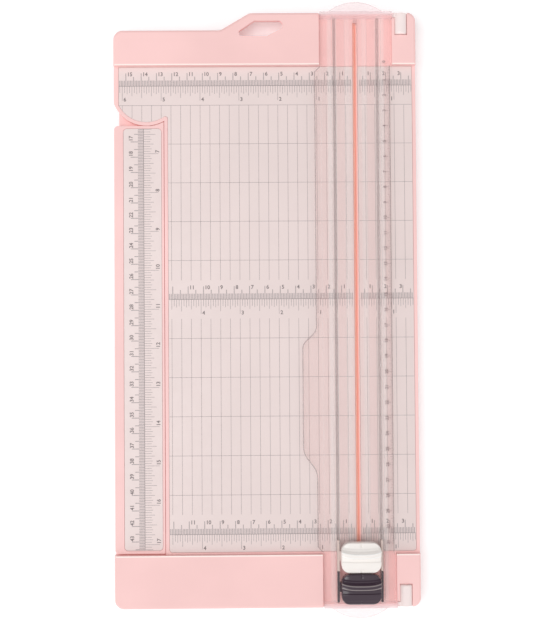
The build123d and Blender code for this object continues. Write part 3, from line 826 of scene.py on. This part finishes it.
def arm_ruler(settings):
    """The ruler along the arm, which carries on from the platform's when the arm is swung out."""
    z = ARM_PLATE_HIGH[2]
    low, high = ARM_PLATE_LOW[1] + PRINT_MARGIN, ARM_PLATE_HIGH[1] - PRINT_MARGIN
    width = settings.tick_width
    origin = Vector((ARM_LINE_X, ARM_ZERO_Y, z))
    parts = [line((ARM_LINE_X - width / 2, ARM_LINE_X + width / 2), (low, high), z)]
    for pattern, side, thickness in ((METRIC, -1, settings.metric_width), (IMPERIAL, 1, width)):
        first = math.ceil((ARM_ZERO_Y - high) / pattern["Spacing"])
        last = math.floor((ARM_ZERO_Y - low) / pattern["Spacing"])
        parts.append(ticks(pattern, origin, -90, side, first, last - first + 1, thickness))
    return parts


def arm_numbers(settings):
    """The numbers of the arm's ruler."""
    places = []
    for value in range(17, 44):
        places.append((value, ARM_LINE_X - 8.2 * MM, ARM_ZERO_Y - value * CM + 2.2 * MM))
    for value in range(7, 18):
        shift = (1.5 if value < 10 else 2.2) * MM
        places.append((value, ARM_LINE_X + 9.1 * MM, ARM_ZERO_Y - value * INCH + shift))
    return [number(value, settings.digit_height, (x, y, ARM_PLATE_HIGH[2]), 90) for value, x, y in places]


def rail_ruler():
    """The faint centimetre scale on the right flange of the clear rail."""
    pattern = dict(METRIC)
    pattern.update({"Length": 1.3 * MM, "Extra 1": 0.6 * MM, "Extra 2": 0.7 * MM})
    origin = Vector((CUT_X + 22.3 * MM, LEDGE_Y, RAIL_TOP_Z))
    parts = [ticks(pattern, origin, -90, -1, 1, RAIL_SCALE_COUNT, 0.16 * MM, "faint ink")]
    for value in range(RAIL_SCALE_COUNT // 10 + 1):
        y = LEDGE_Y - value * CM + (2.0 if value == 0 else 0.0) * MM
        parts.append(number(value, 2.0 * MM, (CUT_X + 18.6 * MM, y, RAIL_TOP_Z), 90))
    return parts


class TRIMMER_OT_platform_print(bpy.types.Operator):
    """Prints the rulers and the grid on the platform's plates"""

    bl_idname = "trimmer.platform_print"
    bl_label = "Platform print"

    def execute(self, context):
        settings = context.scene.trimmer_print
        left, right = PLATE_LOW[0] + PRINT_MARGIN, RIGHT_HIGH[0] - PRINT_MARGIN
        lower_left = ARM_SIDE_X + PRINT_MARGIN
        lines, numbers = grid_lines(settings), []
        for inches, left_edge, cm_from, inch_from in (
            (0.5, left, 15, 6), (6, lower_left, 11, 4), (12, lower_left, 11, 4),
        ):
            y = LEDGE_Y - inches * INCH
            lines += horizontal_ruler(y, left_edge, right, settings)
            numbers += horizontal_numbers(y, cm_from, inch_from, settings)
        piece("platform_print", joined(lines), "tick ink", "base")
        piece("platform_numbers", joined(numbers), "ink", "base")
        return {"FINISHED"}


class TRIMMER_OT_arm_print(bpy.types.Operator):
    """Prints the ruler on the swing-out arm"""

    bl_idname = "trimmer.arm_print"
    bl_label = "Arm print"

    def execute(self, context):
        settings = context.scene.trimmer_print
        piece("arm_print", joined(arm_ruler(settings)), "tick ink", "ruler_arm")
        piece("arm_numbers", joined(arm_numbers(settings)), "ink", "ruler_arm")
        return {"FINISHED"}


class TRIMMER_OT_rail_print(bpy.types.Operator):
    """Prints the scale on the clear rail"""

    bl_idname = "trimmer.rail_print"
    bl_label = "Rail print"

    def execute(self, context):
        piece("rail_print", joined(rail_ruler()), "faint ink", "rail")
        return {"FINISHED"}


# ---------------------------------------------------------------- mouldings


class TRIMMER_OT_base(bpy.types.Operator):
    """Finishes the pink base, its plates, strip, feet and screws"""

    bl_idname = "trimmer.base"
    bl_label = "Base"

    def execute(self, context):
        width = context.scene.trimmer_base.edge_round
        for node, material, slot, rounding in (
            # The base shell takes the plastic with the painted ledge highlight
            ("base_shell", "pink plastic with ledge highlight", "pink_plastic", width),
            ("bottom_plate", "pink plastic", "pink_plastic", width),
            ("grid_plate_left", "printed film", "printed_plate", PLATE_ROUND),
            ("grid_plate_right", "printed film", "printed_plate", PLATE_ROUND),
            ("cutting_strip", "coral strip", "coral_strip", 0.15 * MM),
            ("rubber_feet", "matt rubber", "rubber", RUBBER_ROUND),
            ("shell_screws", "bright steel", "steel", SMALL_ROUND),
            ("arm_pivot_screw", "bright steel", "steel", SMALL_ROUND),
            ("arm_spring_washer", "bright steel", "steel", SMALL_ROUND),
            ("hinge_pin_back", "pink plastic", "pink_plastic", SMALL_ROUND),
            ("hinge_pin_front", "pink plastic", "pink_plastic", SMALL_ROUND),
        ):
            softened(node, material, "base", rounding)
        return {"FINISHED"}


class TRIMMER_OT_arm(bpy.types.Operator):
    """Finishes the swing-out ruler arm"""

    bl_idname = "trimmer.arm"
    bl_label = "Ruler arm"

    def execute(self, context):
        width = context.scene.trimmer_base.edge_round
        softened("arm_body", "pink plastic", "ruler_arm", width)
        softened("arm_ruler_plate", "printed film", "ruler_arm", PLATE_ROUND)
        softened("arm_pads", "matt rubber", "ruler_arm", RUBBER_ROUND)
        return {"FINISHED"}


def on_flange_rim(edge):
    """Whether an edge of the rail runs round the top of its flange, over the platform."""
    centre = (edge.verts[0].co + edge.verts[1].co) / 2
    over_platform = abs(centre.x - CUT_X) > FLANGE_INSIDE and abs(centre.y) < LEDGE_Y
    return over_platform and abs(centre.z - RAIL_TOP_Z) < 0.01 * MM


def darkened_edge(beam):
    """Gives the rounded outer edges of the rail's flange their painted dark edge shade."""
    beam.data.materials.append(finish("clear edge painted shade"))
    for face in beam.data.polygons:
        outside = abs(face.center.x - CUT_X) > FLANGE_INSIDE and abs(face.center.y) < LEDGE_Y
        below_top = face.center.z < RAIL_TOP_Z - 0.01 * MM
        if outside and below_top and face.normal.z > -0.3 and face.normal.z < 0.97:
            face.material_index = 1


class TRIMMER_OT_rail(bpy.types.Operator):
    """Finishes the clear rail and its two end pieces"""

    bl_idname = "trimmer.rail"
    bl_label = "Clear rail"

    def execute(self, context):
        width = context.scene.trimmer_rail.edge_round
        clear_pieces = [
            softened("rail_beam", "clear rail", "rail", width, 2, RIM_ROUND, on_flange_rim)
        ]
        for node in ("rail_end_cap_back", "rail_end_cap_front"):
            clear_pieces.append(softened(node, "clear end", "rail", 0.5 * MM, 3))
        darkened_edge(clear_pieces[0])
        for clear_piece in clear_pieces:
            clear_piece.visible_shadow = False
        return {"FINISHED"}


# ---------------------------------------------------------------- heads


# Where a head's two crests run, as shares of its half depth, and how wide their painted highlight is
CRESTS = (0.02, 0.27)
CREST_SHARE = 0.028

# How far a head's crown stands above its skirt
CROWN_HEIGHT = 8.5 * MM


def head_height(v):
    """Height of a head's top over its skirt in millimetres; v is -1 at the near edge and 1 at the far."""
    points = (
        (-1.0, 4.7), (-0.85, 5.7), (-0.6, 6.55), (-0.36, 6.95), (-0.27, 6.95), (-0.23, 6.45), (-0.06, 6.4),
        (-0.01, 7.6), (0.03, 7.85), (0.10, 7.7), (0.18, 7.85), (0.25, 8.3), (0.28, 8.2), (0.34, 7.4),
        (0.48, 6.3), (0.66, 5.7), (0.84, 5.6), (1.0, 5.75),
    )
    for (low_v, low_z), (high_v, high_z) in zip(points, points[1:]):
        if v <= high_v:
            t = (v - low_v) / (high_v - low_v)
            t = t * t * (3 - 2 * t)
            return low_z + (high_z - low_z) * t
    return points[-1][1]


def half_width(y, half_x, half_y, cut, corner):
    """Half the width of a head's plan at y from its middle: straight sides and large round corners."""
    reach = cut + corner
    into = abs(y) - (half_y - reach)
    if into <= 0:
        return half_x
    t = min(1.0, into / reach)
    return half_x - reach * (1 - (1 - t**2.1) ** (1 / 2.1)) * 1.05


def ridge_share(v):
    """How much of the ridge's curve a row follows: all at the ridge, and none at the edges or near face."""
    if v < 0.1:
        t = min(1.0, max(0.0, (v + 0.3) / 0.4))
    else:
        t = min(1.0, max(0.0, (1.0 - v) / 0.7))
    return t * t * (3 - 2 * t)


def head_mesh(centre_y, settings, low, high):
    """A head's hollow crown: curved ridge, shallow groove, dished far face and rounded near face."""
    half_x, half_y = (high[0] - low[0]) / 2, (high[1] - low[1]) / 2
    centre_x, skirt_z = (high[0] + low[0]) / 2, low[2]
    cut, corner = 3.4 * MM, 2.6 * MM
    round_edge = 0.9 * MM
    rows, columns = 84, 56
    made = bmesh.new()
    grid, crest_highlight_values = [], []
    for row in range(rows + 1):
        v = -math.cos(math.pi * row / rows) * 0.25 + (2 * row / rows - 1) * 0.75
        flat_y = v * half_y
        line_of_verts = []
        for column in range(columns + 1):
            u = math.sin((column / columns - 0.5) * math.pi)
            width = half_width(flat_y, half_x, half_y, cut, corner)
            x = u * width
            bend = settings.smile * ridge_share(v) * abs(x / half_x) ** 3
            y = flat_y + bend
            width_here = half_width(y, half_x, half_y, cut, corner)
            x = u * width_here
            edge_x = width_here - abs(x)
            edge_y = (1 - abs(v)) * half_y
            rim = min(round_edge, edge_x, edge_y) / round_edge
            drop = round_edge * (1 - math.sqrt(max(0.0, 1 - (1 - rim) ** 2)))
            side = 0.9 * MM * (abs(x) / half_x) ** 4
            notch = 0.5 * MM * math.exp(-((x / (0.35 * MM)) ** 2)) * (1 if abs(v) > 0.72 else 0)
            z = skirt_z + head_height(v) * MM - drop - side - notch
            line_of_verts.append(made.verts.new((centre_x + x, centre_y + y, z)))
            # Weight of the painted highlight along the two crests
            crest_highlight_values.append(max(math.exp(-(((v - peak) / CREST_SHARE) ** 2)) for peak in CRESTS))
        grid.append(line_of_verts)
    for row in range(rows):
        for column in range(columns):
            made.faces.new(
                (grid[row][column], grid[row][column + 1], grid[row + 1][column + 1], grid[row + 1][column])
            )
    rim = grid[0][:] + [grid[row][-1] for row in range(1, rows + 1)]
    rim += grid[rows][-2::-1] + [grid[row][0] for row in range(rows - 1, 0, -1)]
    wall = settings.wall
    middle = Vector((centre_x, centre_y, 0))
    rings = [rim]
    scale_x, scale_y = (half_x - wall) / half_x, (half_y - wall) / half_y
    for scale, z in (
        (1.0, skirt_z + 0.35 * MM), (0.985, skirt_z + 0.08 * MM), (0.96, skirt_z), (None, skirt_z),
        (None, skirt_z + 3.6 * MM),
    ):
        ring = []
        for vert in rim:
            offset = vert.co - middle
            if scale is None:
                place = (middle.x + offset.x * scale_x, middle.y + offset.y * scale_y, z)
            else:
                place = (middle.x + offset.x * scale, middle.y + offset.y * scale, z)
            ring.append(made.verts.new(place))
        rings.append(ring)
    for upper, lower in zip(rings, rings[1:]):
        for here in range(len(rim)):
            ahead = (here + 1) % len(rim)
            made.faces.new((upper[here], upper[ahead], lower[ahead], lower[here]))
    made.faces.new(rings[-1])
    bmesh.ops.recalc_face_normals(made, faces=made.faces)
    mesh = as_mesh(made, "crown")
    crest_highlight = mesh.attributes.new("crest_highlight", "FLOAT", "POINT")
    crest_highlight.data.foreach_set("value", crest_highlight_values + [0.0] * (len(mesh.vertices) - len(crest_highlight_values)))
    smooth_by_angle(mesh, 50)
    return mesh


def fork_mesh(centre_y, low, high):
    """The two cheeks under the crown that hold the axle."""
    centre_x = (low[0] + high[0]) / 2
    half_y = 6.4 * MM
    parts = []
    for side in (-1, 1):
        x = sorted(centre_x + side * value * MM for value in (1.7, 4.0))
        corner = (x[1], centre_y + half_y, low[2] + 7.0 * MM)
        parts.append(box_mesh((x[0], centre_y - half_y, low[2]), corner))
    return joined(parts)


def spring_pair(name):
    """The two return springs of a head, softened, each with a mesh of its own."""
    springs = softened(name + "_springs", "bright steel", name + "_carriage", 0.02 * MM, 1)
    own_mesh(springs)


class TRIMMER_OT_heads(bpy.types.Operator):
    """Makes the black cutting head and the white scoring head, with their carriages and wheels"""

    bl_idname = "trimmer.heads"
    bl_label = "Cutting and scoring heads"

    def execute(self, context):
        settings = context.scene.trimmer_heads
        for name, material, runner, slot in (
            ("cutter", "gloss black", "gloss black", "black_plastic"),
            # The scorer's carriage takes the ivory in painted shade
            ("scorer", "ivory white", "ivory in painted shade", "white_plastic"),
        ):
            low, high = (Vector(corner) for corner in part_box(name + "_head"))
            centre_y = (low[1] + high[1]) / 2
            skirt = Vector((low[0], low[1], high[2] - CROWN_HEIGHT))
            crown = head_mesh(centre_y, settings, skirt, high)
            fork = fork_mesh(centre_y, low, high)
            piece(name + "_crown", joined([crown, fork]), material, name + "_head", (name + "_head",))
            softened(name + "_carriage", runner, name + "_carriage", 0.2 * MM)
            softened(name + "_wheel", "bright steel", name + "_wheel", 0.05 * MM, 1)
            softened(name + "_axle", "bright steel", name + "_head", 0.1 * MM)
            spring_pair(name)
        return {"FINISHED"}


# ---------------------------------------------------------------- stage


# The floor's corners, the large light, and the camera's place and turn in degrees
FLOOR_LOW, FLOOR_HIGH = (-4, -4, -0.02), (4, 4, -0.0002)
KEY_PLACE, KEY_SIZE = (-0.7, -0.05, 1.9), (1.2, 1.2)
CAMERA_PLACE, CAMERA_TURN = (-0.00564, -0.01823, 0.66102), (1.331, -0.499, -0.390)
SENSOR_WIDTH = 36.0


def area_light(name, place, target, size, power):
    """Adds a soft rectangular light that faces a point."""
    lamp = bpy.data.lights.new(name, "AREA")
    lamp.shape = "RECTANGLE"
    lamp.size, lamp.size_y = size
    lamp.energy = power
    holder = linked(name, lamp)
    holder.location = place
    holder.rotation_euler = (Vector(target) - Vector(place)).to_track_quat("-Z", "Y").to_euler()


class TRIMMER_OT_stage(bpy.types.Operator):
    """Sets the pale floor, the soft lights and the camera"""

    bl_idname = "trimmer.stage"
    bl_label = "Stage"

    def execute(self, context):
        settings = context.scene.trimmer_stage
        scene = context.scene
        scene.view_settings.view_transform = "Standard"
        floor = linked("floor", box_mesh(FLOOR_LOW, FLOOR_HIGH))
        glow = shade(settings.floor, settings.floor_glow)
        lit = [("Emission Color", (*glow, 1)), ("Emission Strength", 1.0)]
        material, tree, shader = new_material("studio floor", settings.floor, 0.7, lit)
        mottle(tree, shader, noise(tree, 3.0), settings.floor, 0.995, 1.0)
        floor.data.materials.append(material)
        world = bpy.data.worlds.new("studio")
        world.use_nodes = True
        sky = world.node_tree
        direction, parts = sky.nodes.new("ShaderNodeTexCoord"), sky.nodes.new("ShaderNodeSeparateXYZ")
        sky.links.new(direction.outputs["Generated"], parts.inputs["Vector"])
        fade = sky.nodes.new("ShaderNodeMapRange")
        fade.interpolation_type = "SMOOTHSTEP"
        for socket, value in (("From Min", 0.25), ("From Max", 0.75), ("To Min", 1.08), ("To Max", 0.25)):
            fade.inputs[socket].default_value = value
        sky.links.new(parts.outputs["Y"], fade.inputs["Value"])
        strength = calculate(sky, "MULTIPLY", fade.outputs["Result"], settings.sky)
        sky.links.new(strength, sky.nodes["Background"].inputs["Strength"])
        sky.nodes["Background"].inputs["Color"].default_value = (1, 1, 1, 1)
        scene.world = world
        area_light("key", KEY_PLACE, (0, 0, 0), KEY_SIZE, settings.key_power)
        lens = bpy.data.cameras.new("camera")
        lens.sensor_width = SENSOR_WIDTH
        lens.lens = settings.focal_length
        camera = linked("camera", lens)
        camera.location = CAMERA_PLACE
        camera.rotation_euler = [math.radians(degrees) for degrees in CAMERA_TURN]
        scene.camera = camera
        return {"FINISHED"}


# ---------------------------------------------------------------- panel and registration


class TRIMMER_PT_panel(bpy.types.Panel):
    """Lists the steps that build the trimmer"""

    bl_idname = "TRIMMER_PT_panel"
    bl_label = "Paper Trimmer"
    bl_space_type = "VIEW_3D"
    bl_region_type = "UI"
    bl_category = "Trimmer"

    def draw(self, context):
        for operator in OPERATORS:
            self.layout.operator(operator.bl_idname)


GROUPS = {
    "trimmer_print": TrimmerPrint,
    "trimmer_base": TrimmerBase,
    "trimmer_rail": TrimmerRail,
    "trimmer_heads": TrimmerHeads,
    "trimmer_stage": TrimmerStage,
}
OPERATORS = (
    TRIMMER_OT_base,
    TRIMMER_OT_platform_print,
    TRIMMER_OT_arm,
    TRIMMER_OT_arm_print,
    TRIMMER_OT_rail,
    TRIMMER_OT_rail_print,
    TRIMMER_OT_heads,
    TRIMMER_OT_stage,
)


CLASSES = (*GROUPS.values(), *OPERATORS, TRIMMER_PT_panel)


def register():
    for kind in CLASSES:
        bpy.utils.register_class(kind)
    for name, group in GROUPS.items():
        setattr(bpy.types.Scene, name, bpy.props.PointerProperty(type=group))


def unregister():
    for name in GROUPS:
        delattr(bpy.types.Scene, name)
    for kind in reversed(CLASSES):
        bpy.utils.unregister_class(kind)


def main():
    register()
    bpy.ops.trimmer.base()
    bpy.ops.trimmer.platform_print()
    bpy.ops.trimmer.arm()
    bpy.ops.trimmer.arm_print()
    bpy.ops.trimmer.rail()
    bpy.ops.trimmer.rail_print()
    bpy.ops.trimmer.heads()
    bpy.ops.trimmer.stage()


if __name__ == "__main__":
    main()
